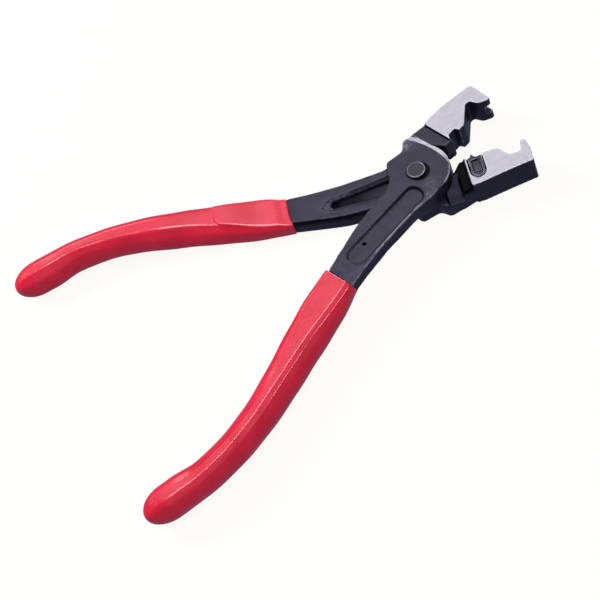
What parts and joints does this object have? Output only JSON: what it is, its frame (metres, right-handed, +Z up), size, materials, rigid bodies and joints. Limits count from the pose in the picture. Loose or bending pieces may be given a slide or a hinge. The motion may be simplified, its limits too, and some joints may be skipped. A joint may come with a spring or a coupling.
{
  "type": "hose clip pliers",
  "caption": "Crossed forged levers on a riveted lap joint, with a stepped, forked upper jaw, a hooked lower jaw that holds a pinned insert, and dipped vinyl grips.",
  "frame": {"origin": "on the pivot axis, in the plane of the rear lap plate's outer face, on which the pliers lie", "axes": "+X from the pivot towards the jaws along the centre line between the levers, +Y towards the side of the upper jaw, +Z up along the pivot axis towards the rivet's head"},
  "size_m": [0.1673, 0.1168, 0.0131],
  "materials": {
    "forged_steel": "black oxide, satin, with bare ground jaw faces",
    "rivet_steel": "black oxide with a bright worn rim",
    "insert_steel": "black oxide, satin",
    "grip_vinyl": "glossy dipped vinyl"
  },
  "bodies": {
    "rear_handle": {"rear_lever": "forged_steel", "pivot_rivet": "rivet_steel", "rear_grip": "grip_vinyl", "jaw_insert": "insert_steel", "insert_pin": "insert_steel"},
    "front_handle": {"front_lever": "forged_steel", "front_grip": "grip_vinyl"}
  },
  "joints": [
    {"name": "pivot", "type": "hinge", "parent": "rear_handle", "child": "front_handle", "pos_m": [0, 0, 0.0061], "axis": [0, 0, 1], "range_deg": [-34.6, 11.3]}
  ]
}
